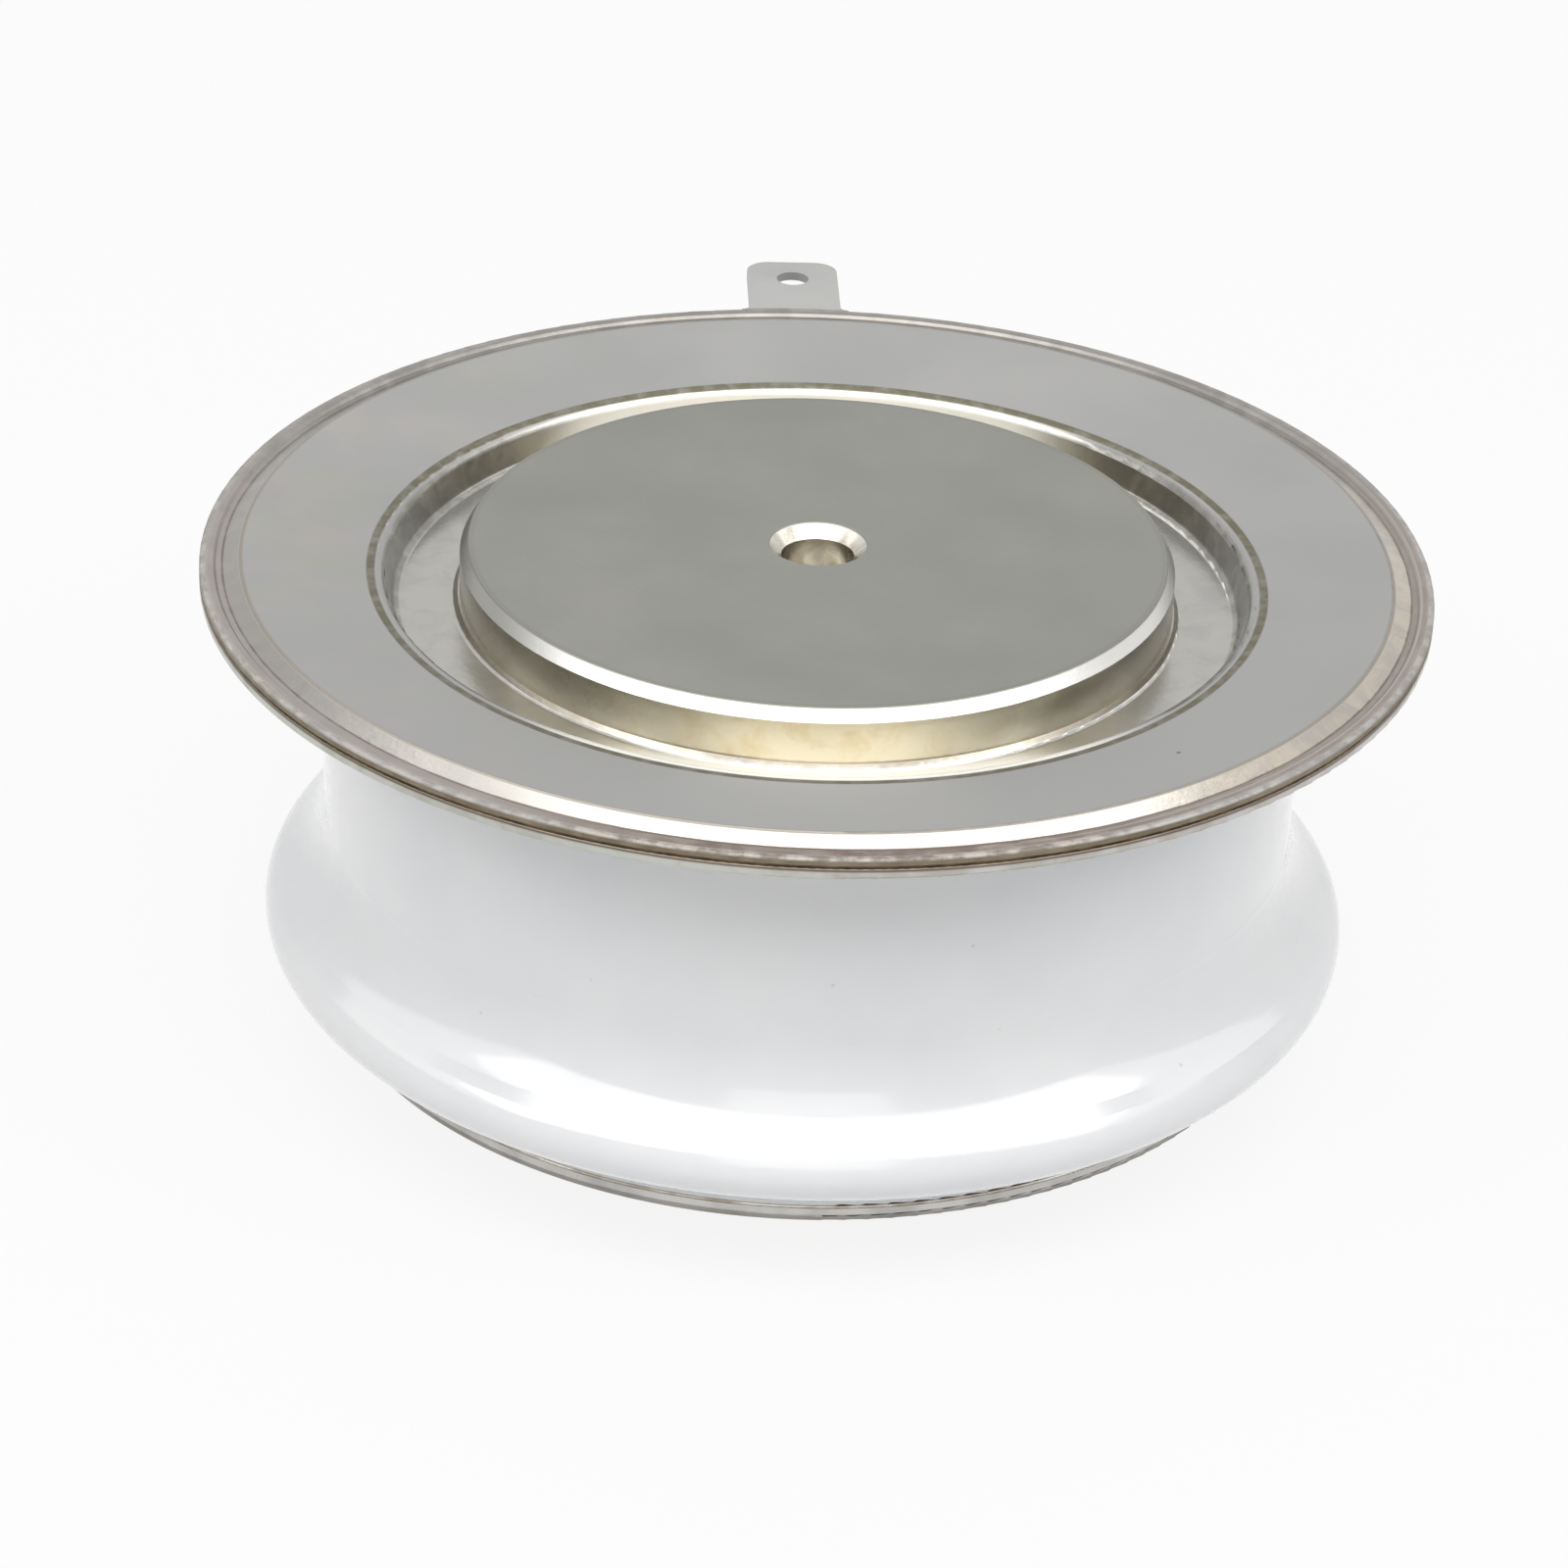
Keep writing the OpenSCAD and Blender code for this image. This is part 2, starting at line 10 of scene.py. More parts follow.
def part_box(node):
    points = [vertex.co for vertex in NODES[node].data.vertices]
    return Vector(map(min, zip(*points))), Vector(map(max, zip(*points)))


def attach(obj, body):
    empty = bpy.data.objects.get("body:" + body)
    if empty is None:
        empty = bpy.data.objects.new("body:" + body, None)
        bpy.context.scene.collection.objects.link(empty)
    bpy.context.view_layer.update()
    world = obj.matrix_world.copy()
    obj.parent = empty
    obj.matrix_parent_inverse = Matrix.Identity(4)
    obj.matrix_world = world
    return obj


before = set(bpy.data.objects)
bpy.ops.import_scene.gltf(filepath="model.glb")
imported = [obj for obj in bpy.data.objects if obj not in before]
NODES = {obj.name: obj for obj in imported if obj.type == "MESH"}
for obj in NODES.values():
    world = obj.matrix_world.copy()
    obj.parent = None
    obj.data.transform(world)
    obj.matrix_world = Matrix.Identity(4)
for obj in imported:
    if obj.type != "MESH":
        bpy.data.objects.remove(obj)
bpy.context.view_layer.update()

bl_info = {
    "name": "Disc thyristor",
    "version": (1, 0, 0),
    "blender": (4, 5, 0),
    "location": "3D View > Sidebar > Thyristor",
    "description": "Gives a disc thyristor its seams, its finishes and a plain studio",
    "category": "Object",
}

MM = 0.001
RIM_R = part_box("weld_flange")[1].x
SEAM_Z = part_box("weld_flange")[1].z
CERAMIC_LOW, CERAMIC_HIGH = (corner.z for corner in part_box("ceramic_ring"))
POLE_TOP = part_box("cathode_pole")[1].z

# Bands of the finishes: radii on the pole and in the trough, distances in from the edge on the rim
FACE_BORDER = (16.35 * MM, 16.6 * MM)
FOOT_LINE = (16.9 * MM, 17.26 * MM)
TROUGH_FLOOR = (17.2 * MM, 20.2 * MM)
TROUGH_WALL = (19.9 * MM, 20.7 * MM)
TROUGH_EDGE = (20.8 * MM, 20.6 * MM)
LIP_HIGHLIGHT = (19.6 * MM, 21.0 * MM)
LIP_DARK = (21.0 * MM, 21.4 * MM)
LIP_SHIFT = 0.016  # the lip's lines lie further in at the back, by this share of y
BEND = (1.84 * MM, 2.04 * MM)
SHOULDER = (1.10 * MM, 1.84 * MM)
GROOVE = (1.02 * MM, 1.13 * MM)
MARK = (0.30 * MM, 1.05 * MM)
RIDGE = (0.56 * MM, 0.74 * MM)


def length(label, note, default):
    """A length in metres, shown with its unit."""
    return FloatProperty(name=label, description=note, default=default, unit="LENGTH", precision=5)


def colour(label, note, default):
    """A scene-linear colour."""
    return FloatVectorProperty(name=label, description=note, default=default, subtype="COLOR", size=3,
                               min=0.0, max=1.0)


def factor(label, note, default):
    """A share from 0 to 1."""
    return FloatProperty(name=label, description=note, default=default, subtype="FACTOR", min=0.0, max=1.0)


def power(label, note, default):
    """The power of a lamp in watts."""
    return FloatProperty(name=label, description=note, default=default, min=0.0, unit="POWER")


def angle(label, note, degrees):
    """An angle, kept in radians."""
    return FloatProperty(name=label, description=note, default=radians(degrees), subtype="ANGLE")


class ThyristorSeams(PropertyGroup):
    bead_depth: length("Bead depth", "How deep the weld bead lies in the rim's groove", 0.09 * MM)
    bead_height: length("Bead height", "Height of the weld bead on the rim's edge", 0.15 * MM)
    ripple: length("Ripple", "Height of the bead's ripples", 0.008 * MM)
    ripples: IntProperty(name="Ripples", description="Number of ripples round the bead", default=360, min=12)
    neck_r: length("Ceramic neck", "Outer radius of the ceramic's upper end", 23.5 * MM)
    neck_fillet: length("Upper fillet", "Leg of the braze fillet under the weld flange", 0.2 * MM)
    foot_r: length("Ceramic foot", "Outer radius of the ceramic's lower end", 23.4 * MM)
    foot_fillet: length("Lower fillet", "Leg of the braze fillet on the anode flange", 0.09 * MM)


class ThyristorFinishes(PropertyGroup):
    glaze: colour("Glaze", "Fired white glaze", (0.86, 0.865, 0.875))
    glaze_shade: colour("Glaze shade", "Bluish cast where the glaze pooled", (0.81, 0.825, 0.845))
    sheet: colour("Sheet nickel", "Satin nickel of the lid's plate", (0.342, 0.341, 0.334))
    trough: colour("Trough", "Nickel of the trough's floor", (0.44, 0.43, 0.40))
    # Painted highlight: this near-white lip colour stands in for light caught on the lip's bend and on the
    # front of the trough's floor.
    lip: colour("Lip", "Burnished nickel on the bend of the trough's lip", (0.96, 0.94, 0.87))
    face: colour("Pole face", "Matte nickel of the pole faces", (0.232, 0.236, 0.214))
    # The pole wall's pale warm cream is a painted reflection of light from the trough, laid over the wall's
    # nickel.
    wall: colour("Pole wall", "Warm turned wall of the poles", (0.80, 0.74, 0.585))
    tan: colour("Tan stain", "Tan stain on the pole's wall", (0.70, 0.59, 0.39))
    tarnish: colour("Tarnish", "Dark olive tarnish along the trough's lip", (0.13, 0.12, 0.085))
    tint: colour("Heat tint", "Mauve brown left on the rim by welding", (0.19, 0.146, 0.125))
    # Painted highlight: the shoulder's pale cream stands in for the light that the shoulder reflects, and is
    # partly its heat colour.
    shoulder_highlight: colour("Cream tint", "Paler heat colour on the rim's shoulder", (0.58, 0.545, 0.50))
    edge: colour("Lid's edge", "Dark olive edge of the lid's rim", (0.20, 0.165, 0.115))
    beige: colour("Weld flange", "Beige nickel of the weld flange", (0.54, 0.55, 0.50))
    weld: colour("Weld metal", "Brown weld bead", (0.10, 0.068, 0.042))
    plain: colour("Plain nickel", "Bright nickel of the lower flange and the terminals", (0.56, 0.55, 0.53))
    # The backing ring's dark tone is partly dull nickel and partly painted shade under the anode flange.
    dull: colour("Dull nickel", "Dull nickel of the backing ring", (0.31, 0.295, 0.275))
    braze: colour("Braze", "Silver braze", (0.62, 0.59, 0.53))
    copper: colour("Copper", "Drawn copper of the gate tube", (0.64, 0.28, 0.16))


class ThyristorStudio(PropertyGroup):
    lens: FloatProperty(name="Lens", description="Focal length of the camera", default=115.79, unit="CAMERA")
    distance: length("Distance", "From the camera to the point that it turns about", 240.394 * MM)
    elevation: angle("Elevation", "Height angle of the camera", 26.305)
    roll: angle("Roll", "Turn of the camera round its line of sight", 2.304)
    turn: angle("Turn", "Turn of the camera round the capsule's axis", -3.4)
    aim_x: length("Aim across", "Aim point to the right of the axis", -1.166 * MM)
    aim_drop: length("Aim drop", "Aim point below the height that the camera turns about", 11.95 * MM)
    pivot: length("Pivot", "Height that the camera turns about", 24.85 * MM)
    sky: factor("Sky", "Strength of the white surroundings on the object", 0.06)
    key: power("Key", "Power of the softbox above the front", 6.6)
    back: power("Back", "Power of the softbox above the back", 1.0)
    panel: power("Front panel", "Power of the panel in front of the object", 0.42)
    sides: power("Side panels", "Power of each panel beside the object", 0.75)
    floor: factor("Floor", "Reflectance of the floor", 0.78)
    floor_glow: factor("Floor glow", "Share of plain white in the floor as the camera sees it", 0.88)


class Finish:
    """A procedural material on Object coordinates, built with one short call per node."""

    def __init__(self, name, metallic, roughness):
        self.material = bpy.data.materials.new(name)
        self.material.use_nodes = True
        self.tree = self.material.node_tree
        self.shader = self.tree.nodes["Principled BSDF"]
        self.shader.inputs["Metallic"].default_value = metallic
        self.shader.inputs["Roughness"].default_value = roughness
        self.place = self.node("ShaderNodeTexCoord").outputs["Object"]

    def node(self, kind, **settings):
        made = self.tree.nodes.new(kind)
        for key, value in settings.items():
            setattr(made, key, value)
        return made

    def feed(self, socket, value):
        if isinstance(value, bpy.types.NodeSocket):
            self.tree.links.new(value, socket)
        elif isinstance(value, (int, float)):
            socket.default_value = value
        else:
            socket.default_value = (*value, 1.0) if len(socket.default_value) == 4 else value

    def set(self, name, value):
        self.feed(self.shader.inputs[name], value)

    def maths(self, operation, a, b=0.5, clamp=False):
        made = self.node("ShaderNodeMath", operation=operation, use_clamp=clamp)
        self.feed(made.inputs[0], a)
        self.feed(made.inputs[1], b)
        return made.outputs[0]

    def times(self, a, b):
        return self.maths("MULTIPLY", a, b)

    def plus(self, a, b):
        return self.maths("ADD", a, b)

    def split(self):
        made = self.node("ShaderNodeSeparateXYZ")
        self.feed(made.inputs[0], self.place)
        return made.outputs

    def radius(self):
        """Distance from the capsule's axis."""
        x, y, _ = self.split()
        squares = self.plus(self.times(x, x), self.times(y, y))
        return self.maths("SQRT", squares)

    def height(self):
        return self.split()[2]

    def noise(self, size, detail=3.0, rough=0.55, distortion=0.0):
        """Soft cloud from 0 to 1 whose blotches are about size metres across."""
        made = self.node("ShaderNodeTexNoise")
        self.feed(made.inputs["Vector"], self.place)
        made.inputs["Scale"].default_value = 1.0 / size
        made.inputs["Detail"].default_value = detail
        made.inputs["Roughness"].default_value = rough
        made.inputs["Distortion"].default_value = distortion
        return made.outputs["Fac"]

    def specks(self, size, reach):
        """1 at scattered dots, about size metres apart and reach of that across."""
        made = self.node("ShaderNodeTexVoronoi", feature="F1")
        self.feed(made.inputs["Vector"], self.place)
        made.inputs["Scale"].default_value = 1.0 / size
        return self.span(made.outputs["Distance"], reach, reach * 0.5)

    def span(self, value, low, high, to_low=0.0, to_high=1.0):
        """Smooth step of value from low to high, rising or falling."""
        made = self.node("ShaderNodeMapRange", interpolation_type="SMOOTHSTEP", clamp=True)
        self.feed(made.inputs["Value"], value)
        if low > high:
            low, high, to_low, to_high = high, low, to_high, to_low
        for key, number in (("From Min", low), ("From Max", high), ("To Min", to_low), ("To Max", to_high)):
            made.inputs[key].default_value = number
        return made.outputs["Result"]

    def band(self, value, low, high, soft):
        """1 between low and high, with soft edges."""
        return self.times(self.span(value, low - soft, low + soft),
                          self.span(value, high + soft, high - soft))

    def mix(self, share, a, b):
        """Colour a where share is 0 and b where it is 1."""
        made = self.node("ShaderNodeMix", data_type="RGBA", clamp_result=True)
        self.feed(made.inputs["Factor"], share)
        self.feed(made.inputs[6], a)
        self.feed(made.inputs[7], b)
        return made.outputs[2]

    def mottle(self, cloud, pale, dark, low=0.35, high=0.65):
        """Pale where the cloud is low and dark where it is high."""
        return self.mix(self.span(cloud, low, high), pale, dark)

    def bump(self, depth, *heights):
        """Relief of the summed heights, each (0 to 1 field, share), depth metres high."""
        total = None
        for field, share in heights:
            part = self.times(field, share)
            total = part if total is None else self.plus(total, part)
        made = self.node("ShaderNodeBump")
        made.inputs["Strength"].default_value = 1.0
        made.inputs["Distance"].default_value = depth
        self.feed(made.inputs["Height"], total)
        self.set("Normal", made.outputs[0])

    def onto(self, *names):
        for name in names:
            dress(NODES[name], self.material)


def dress(thing, material):
    thing.data.materials.clear()
    thing.data.materials.append(material)


def turned_ring(name, section, turns, lift=None):
    """Closed section carried once round the Z axis: at angle t each section point (r, z) stands at
    (r cos t, r sin t, z), after lift(t) has swelled it from the section's centre."""
    t = np.linspace(0.0, 2.0 * np.pi, turns, endpoint=False)
    middle = section.mean(0)
    swell = np.ones_like(t) if lift is None else lift(t)
    rz = middle + (section - middle)[None] * swell[:, None, None]
    points = np.stack((rz[..., 0] * np.cos(t)[:, None], rz[..., 0] * np.sin(t)[:, None], rz[..., 1]), -1)
    count = len(section)
    i, j = np.meshgrid(np.arange(turns), np.arange(count), indexing="ij")
    ahead, beside = (i + 1) % turns, (j + 1) % count
    quads = np.stack((i * count + j, ahead * count + j, ahead * count + beside, i * count + beside), -1)
    before = np.roll(section, 1, axis=0)
    step = section - before
    area = np.sum(before[:, 0] * step[:, 1] - before[:, 1] * step[:, 0])
    quads = quads.reshape(-1, 4)
    if area < 0:
        quads = quads[:, ::-1]
    return new_mesh(name, points.reshape(-1, 3), quads)


def new_mesh(name, points, quads):
    """Mesh of a point array and a quad array, shaded smooth and riding on the capsule."""
    mesh = bpy.data.meshes.new(name)
    mesh.vertices.add(len(points))
    mesh.vertices.foreach_set("co", points.astype(np.float32).ravel())
    mesh.loops.add(quads.size)
    mesh.loops.foreach_set("vertex_index", quads.astype(np.int32).ravel())
    mesh.polygons.add(len(quads))
    mesh.polygons.foreach_set("loop_start", np.arange(0, quads.size, 4, dtype=np.int32))
    mesh.polygons.foreach_set("use_smooth", np.ones(len(quads), bool))
    mesh.update(calc_edges=True)
    mesh.validate()
    thing = bpy.data.objects.new(name, mesh)
    bpy.context.scene.collection.objects.link(thing)
    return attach(thing, "root")


class THYRISTOR_OT_ceramic(Operator):
    """Glazes the ceramic ring: glossy white with a bluish cast where the glaze pooled"""
    bl_idname = "thyristor.ceramic"
    bl_label = "Glaze the ceramic"

    def execute(self, context):
        tones = context.scene.thyristor_finishes
        glaze = Finish("fired_glaze", 0.0, 0.1)
        cloud = glaze.noise(9 * MM, 4.0)
        tone = glaze.mix(glaze.span(cloud, 0.35, 0.75), tones.glaze, tones.glaze_shade)
        pin = glaze.times(glaze.specks(2.6 * MM, 0.05), glaze.span(glaze.noise(14 * MM), 0.52, 0.62))
        tone = glaze.mix(glaze.times(pin, 0.4), tone, (0.45, 0.42, 0.38))
        glaze.set("Base Color", tone)
        glaze.set("Roughness", glaze.span(cloud, 0.3, 0.8, 0.06, 0.15))
        glaze.set("Coat Weight", 0.8)
        glaze.set("Coat Roughness", 0.12)
        glaze.bump(0.012 * MM, (glaze.noise(3.5 * MM, 2.0), 0.8), (pin, 0.2))
        glaze.onto("ceramic_ring")
        return {"FINISHED"}


class THYRISTOR_OT_poles(Operator):
    """Plates the two poles: matte lapped faces, chamfers with a painted highlight and painted shade on the
    left, warm turned walls painted with reflected light and with painted shade at their sides
    """
    bl_idname = "thyristor.poles"
    bl_label = "Plate the poles"

    def execute(self, context):
        tones = context.scene.thyristor_finishes
        plate = Finish("pole_nickel", 1.0, 0.42)
        r, z = plate.radius(), plate.height()
        away = plate.maths("ABSOLUTE", plate.maths("SUBTRACT", z, POLE_TOP / 2))
        face = plate.span(away, POLE_TOP / 2 - 0.10 * MM, POLE_TOP / 2 - 0.03 * MM)
        chamfer = plate.band(away, POLE_TOP / 2 - 0.62 * MM, POLE_TOP / 2 - 0.06 * MM, 0.04 * MM)
        hole = plate.span(r, 2.6 * MM, 2.4 * MM)
        cloud = plate.noise(7 * MM, 4.0)
        grain = plate.noise(0.35 * MM, 2.0)
        patch = plate.noise(1.5 * MM, 4.0, 0.6, distortion=0.4)
        lap = plate.node("ShaderNodeTexNoise", noise_dimensions="1D")
        plate.feed(lap.inputs["W"], plate.times(r, 2600.0))
        lap.inputs["Scale"].default_value = 1.0
        lap.inputs["Detail"].default_value = 2.0
        wall = plate.mix(plate.span(patch, 0.42, 0.68, 0.0, 0.85), tones.wall, tones.tan)
        x = plate.split()[0]
        # Painted shade: the pole wall darkens towards its left and right sides.
        sides = plate.plus(plate.span(x, 2 * MM, 8 * MM, 0.0, 0.8),
                           plate.span(x, -3 * MM, -8 * MM, 0.0, 0.75))
        wall = plate.mix(sides, wall, (0.27, 0.255, 0.21))
        matte = plate.mix(plate.span(cloud, 0.3, 0.75, 0.0, 0.18), tones.face, (0.35, 0.34, 0.29))
        pores = plate.maths("MULTIPLY", plate.maths("SUBTRACT", grain, 0.4), 0.3, clamp=True)
        matte = plate.mix(pores, matte, (0.20, 0.20, 0.18))
        border = plate.band(r, *FACE_BORDER, 0.05 * MM)
        matte = plate.mix(plate.times(border, 0.3), matte, (0.19, 0.18, 0.15))
        tone = plate.mix(face, wall, matte)
        # Painted highlight on the chamfer, turning to painted shade on its left side.
        chamfer_highlight_and_shade = plate.mix(plate.span(x, -11 * MM, -15.5 * MM, 0.0, 0.8),
                          (0.70, 0.69, 0.655), (0.25, 0.25, 0.225))
        tone = plate.mix(chamfer, tone, chamfer_highlight_and_shade)
        sunk = plate.mix(plate.span(patch, 0.4, 0.65), (0.64, 0.62, 0.55), (0.42, 0.385, 0.32))
        tone = plate.mix(plate.times(hole, plate.span(face, 1.0, 0.0)), tone, sunk)
        plate.set("Base Color", tone)
        rough = plate.span(cloud, 0.2, 0.8, 0.38, 0.5)
        rough = plate.maths("SUBTRACT", rough, plate.times(plate.span(face, 1.0, 0.0), 0.2))
        plate.set("Roughness", rough)
        plate.bump(0.01 * MM, (grain, 0.5), (lap.outputs["Fac"], 0.3), (cloud, 0.4))
        plate.onto("cathode_pole", "anode_pole")
        return {"FINISHED"}


class THYRISTOR_OT_flanges(Operator):
    """Plates the pressed sheets: satin nickel with blotches and specks, heat colours on the lid's rim,
    painted highlights and painted shade on the lid, and painted shade on the backing ring
    """
    bl_idname = "thyristor.flanges"
    bl_label = "Plate the flanges"

    def execute(self, context):
        tones = context.scene.thyristor_finishes
        self.lid(tones)
        self.weld_flange(tones)
        rows = (("plain_nickel", tones.plain, ("anode_flange", "gate_ferrule", "gate_tab")),
                # The backing ring's darker nickel is partly painted shade.
                ("dull_shaded_nickel", tones.dull, ("backing_ring",)))
        for name, pale, pieces in rows:
            sheet = Finish(name, 1.0, 0.36)
            cloud = sheet.noise(3 * MM, 4.0)
            darker = [0.68 * part for part in pale]
            sheet.set("Base Color", sheet.mix(sheet.span(cloud, 0.35, 0.7, 0.0, 0.8), pale, darker))
            sheet.set("Roughness", sheet.span(cloud, 0.3, 0.7, 0.28, 0.44))
            sheet.bump(0.01 * MM, (sheet.noise(0.3 * MM, 2.0), 0.6), (cloud, 0.4))
            sheet.onto(*pieces)
        return {"FINISHED"}

    @staticmethod
    def lid(tones):
        """Bands by radius: trough, lip, plate, shoulder, press mark, rim and edge, with painted highlights on
        the lip, the trough's front, the shoulder and a ridge, and painted shade on the trough's sides, the
        shoulder's sides and the back.
        """
        sheet = Finish("lid_nickel", 1.0, 0.38)
        r, (x, y, z) = sheet.radius(), sheet.split()
        cloud = sheet.noise(8 * MM, 4.0)
        grain = sheet.noise(0.3 * MM, 2.0)
        patch = sheet.noise(1.8 * MM, 4.0, 0.6, distortion=0.6)
        fine = sheet.noise(0.8 * MM, 3.0)
        inward = sheet.maths("SUBTRACT", RIM_R, r)
        tone = sheet.mix(sheet.span(cloud, 0.3, 0.75, 0.0, 0.6), tones.sheet, (0.345, 0.34, 0.33))
        left = sheet.span(x, -6 * MM, -24 * MM)
        green = sheet.times(left, sheet.span(sheet.noise(5.5 * MM, 3.0), 0.45, 0.65))
        pink = sheet.times(left, sheet.span(sheet.noise(4.3 * MM, 3.0, distortion=0.4), 0.48, 0.66))
        tone = sheet.mix(sheet.times(green, 0.4), tone, (0.37, 0.365, 0.30))
        tone = sheet.mix(sheet.times(pink, 0.3), tone, (0.41, 0.36, 0.355))
        speck = sheet.times(sheet.specks(3.1 * MM, 0.045), sheet.span(sheet.noise(11 * MM), 0.55, 0.62))
        tone = sheet.mix(sheet.times(speck, 0.7), tone, (0.06, 0.05, 0.04))

        trough = sheet.span(r, *TROUGH_EDGE)
        deep = sheet.mix(sheet.span(patch, 0.4, 0.7, 0.0, 0.5), tones.trough, tones.sheet)
        tone = sheet.mix(trough, tone, deep)
        across = sheet.span(sheet.maths("ABSOLUTE", x), 8 * MM, 17 * MM)
        # Painted shade: the trough's outer wall is darkened on its left and right.
        outer = sheet.times(sheet.band(r, *TROUGH_WALL, 0.08 * MM), across)
        tone = sheet.mix(sheet.times(outer, sheet.span(patch, 0.3, 0.6, 0.4, 0.9)), tone,
                         (0.22, 0.215, 0.195))
        aside = sheet.plus(r, sheet.times(y, LIP_SHIFT))
        # Painted highlight: the front of the trough's floor and the lip's bend take the near-white lip colour
        # and lose most of their metallic look.
        front_floor_highlight = sheet.times(sheet.span(y, -14 * MM, -17 * MM), sheet.band(r, *TROUGH_FLOOR, 0.05 * MM))
        painted_highlight = sheet.maths("MAXIMUM", front_floor_highlight, sheet.band(aside, *LIP_HIGHLIGHT, 0.05 * MM))
        painted_highlight = sheet.times(painted_highlight, sheet.span(across, 0.0, 1.0, 0.95, 0.0))
        tone = sheet.mix(painted_highlight, tone, tones.lip)
        sheet.set("Metallic", sheet.span(painted_highlight, 0.0, 1.0, 1.0, 0.25))
        lip = sheet.band(aside, *LIP_DARK, 0.05 * MM)
        tone = sheet.mix(sheet.times(lip, sheet.span(fine, 0.3, 0.6, 0.7, 1.0)), tone, tones.tarnish)
        foot = sheet.band(r, *FOOT_LINE, 0.04 * MM)
        tone = sheet.mix(sheet.times(foot, sheet.span(fine, 0.35, 0.65, 0.3, 0.6)), tone,
                         (0.36, 0.30, 0.21))

        bend = sheet.band(inward, *BEND, 0.04 * MM)
        tone = sheet.mix(sheet.times(bend, 0.55), tone, (0.25, 0.21, 0.155))
        shoulder = sheet.band(inward, *SHOULDER, 0.03 * MM)
        side = sheet.span(sheet.maths("ABSOLUTE", x), 6 * MM, 17 * MM)
        # Painted highlight on the shoulder: pale grey at the front, warmer cream towards the sides.
        warm_highlight = sheet.mix(sheet.span(patch, 0.3, 0.7), tones.shoulder_highlight, (0.76, 0.74, 0.70))
        pale = sheet.mix(sheet.span(side, 0.0, 1.0, 0.2, 0.7), (0.66, 0.645, 0.61), warm_highlight)
        tone = sheet.mix(shoulder, tone, pale)
        line = sheet.band(inward, *GROOVE, 0.03 * MM)
        mark = sheet.band(inward, *MARK, 0.04 * MM)
        brown = sheet.mottle(patch, tones.tint, (0.29, 0.25, 0.22))
        tone = sheet.mix(mark, tone, brown)
        # Painted highlight: a lighter ridge on the right side of the rim.
        ridge_highlight = sheet.times(sheet.band(inward, *RIDGE, 0.04 * MM),
                            sheet.span(x, 2 * MM, 16 * MM))
        tone = sheet.mix(sheet.times(ridge_highlight, 0.7), tone, (0.44, 0.41, 0.38))
        tone = sheet.mix(sheet.times(line, 0.8), tone, (0.13, 0.095, 0.07))
        corner = sheet.times(sheet.span(inward, 0.32 * MM, 0.24 * MM),
                             sheet.span(z, SEAM_Z + 0.29 * MM, SEAM_Z + 0.33 * MM))
        broken = sheet.mix(sheet.span(fine, 0.38, 0.62), (0.40, 0.37, 0.335), (0.21, 0.185, 0.16))
        tone = sheet.mix(sheet.times(corner, sheet.span(side, 0.0, 1.0, 1.0, 0.45)), tone, broken)
        border = sheet.times(sheet.span(inward, 0.16 * MM, 0.12 * MM),
                             sheet.span(z, SEAM_Z + 0.33 * MM, SEAM_Z + 0.28 * MM))
        dark = sheet.mottle(patch, tones.edge, (0.28, 0.24, 0.18))
        tone = sheet.mix(border, tone, dark)
        # Painted shade: the shoulder darkens towards its right and left sides.
        shoulder_side_shade = sheet.times(shoulder, sheet.span(x, 7 * MM, 18 * MM, 0.0, 0.85))
        tone = sheet.mix(shoulder_side_shade, tone, sheet.mottle(patch, (0.52, 0.46, 0.38), (0.38, 0.35, 0.31)))
        shoulder_side_shade = sheet.times(shoulder, sheet.span(x, -6 * MM, -17 * MM, 0.0, 0.85))
        tone = sheet.mix(shoulder_side_shade, tone, sheet.mottle(patch, (0.30, 0.285, 0.262), (0.25, 0.24, 0.222)))
        ends = sheet.plus(sheet.span(x, -6 * MM, -17 * MM, 0.0, 0.8),
                          sheet.span(x, 6 * MM, 17 * MM, 0.0, 0.4))
        outside = sheet.times(mark, ends)
        tone = sheet.mix(outside, tone, sheet.mottle(patch, (0.37, 0.345, 0.325), (0.31, 0.29, 0.27)))
        tone = sheet.mix(sheet.times(line, sheet.span(patch, 0.4, 0.6, 0.1, 0.7)), tone, (0.15, 0.12, 0.095))
        # Painted shade: the back of the plate and the trough is darkened.
        back_shade = sheet.times(sheet.span(y, -2 * MM, 20 * MM, 0.0, 0.8), sheet.span(inward, 2.0 * MM, 1.9 * MM))
        tone = sheet.mix(back_shade, tone, sheet.mottle(patch, (0.30, 0.29, 0.27), (0.22, 0.21, 0.195)))
        tab = sheet.span(r, RIM_R - 0.05 * MM, RIM_R + 0.08 * MM)
        blade = sheet.mix(sheet.span(cloud, 0.35, 0.7), (0.39, 0.39, 0.38), (0.345, 0.34, 0.335))
        flat = sheet.times(tab, sheet.span(y, 0.0, 10 * MM))
        tone = sheet.mix(flat, tone, blade)
        sheet.set("Base Color", tone)
        rough = sheet.span(cloud, 0.25, 0.75, 0.29, 0.38)
        rough = sheet.maths("SUBTRACT", rough, sheet.times(sheet.plus(shoulder, trough), 0.1))
        rough = sheet.plus(rough, sheet.span(inward, 0.45 * MM, 0.3 * MM, 0.0, 0.3))
        rough = sheet.plus(rough, sheet.times(lip, 0.2))
        sheet.set("Roughness", rough)
        sheet.bump(0.01 * MM, (grain, 0.6), (patch, 0.4), (speck, -0.5))
        sheet.onto("cathode_flange")

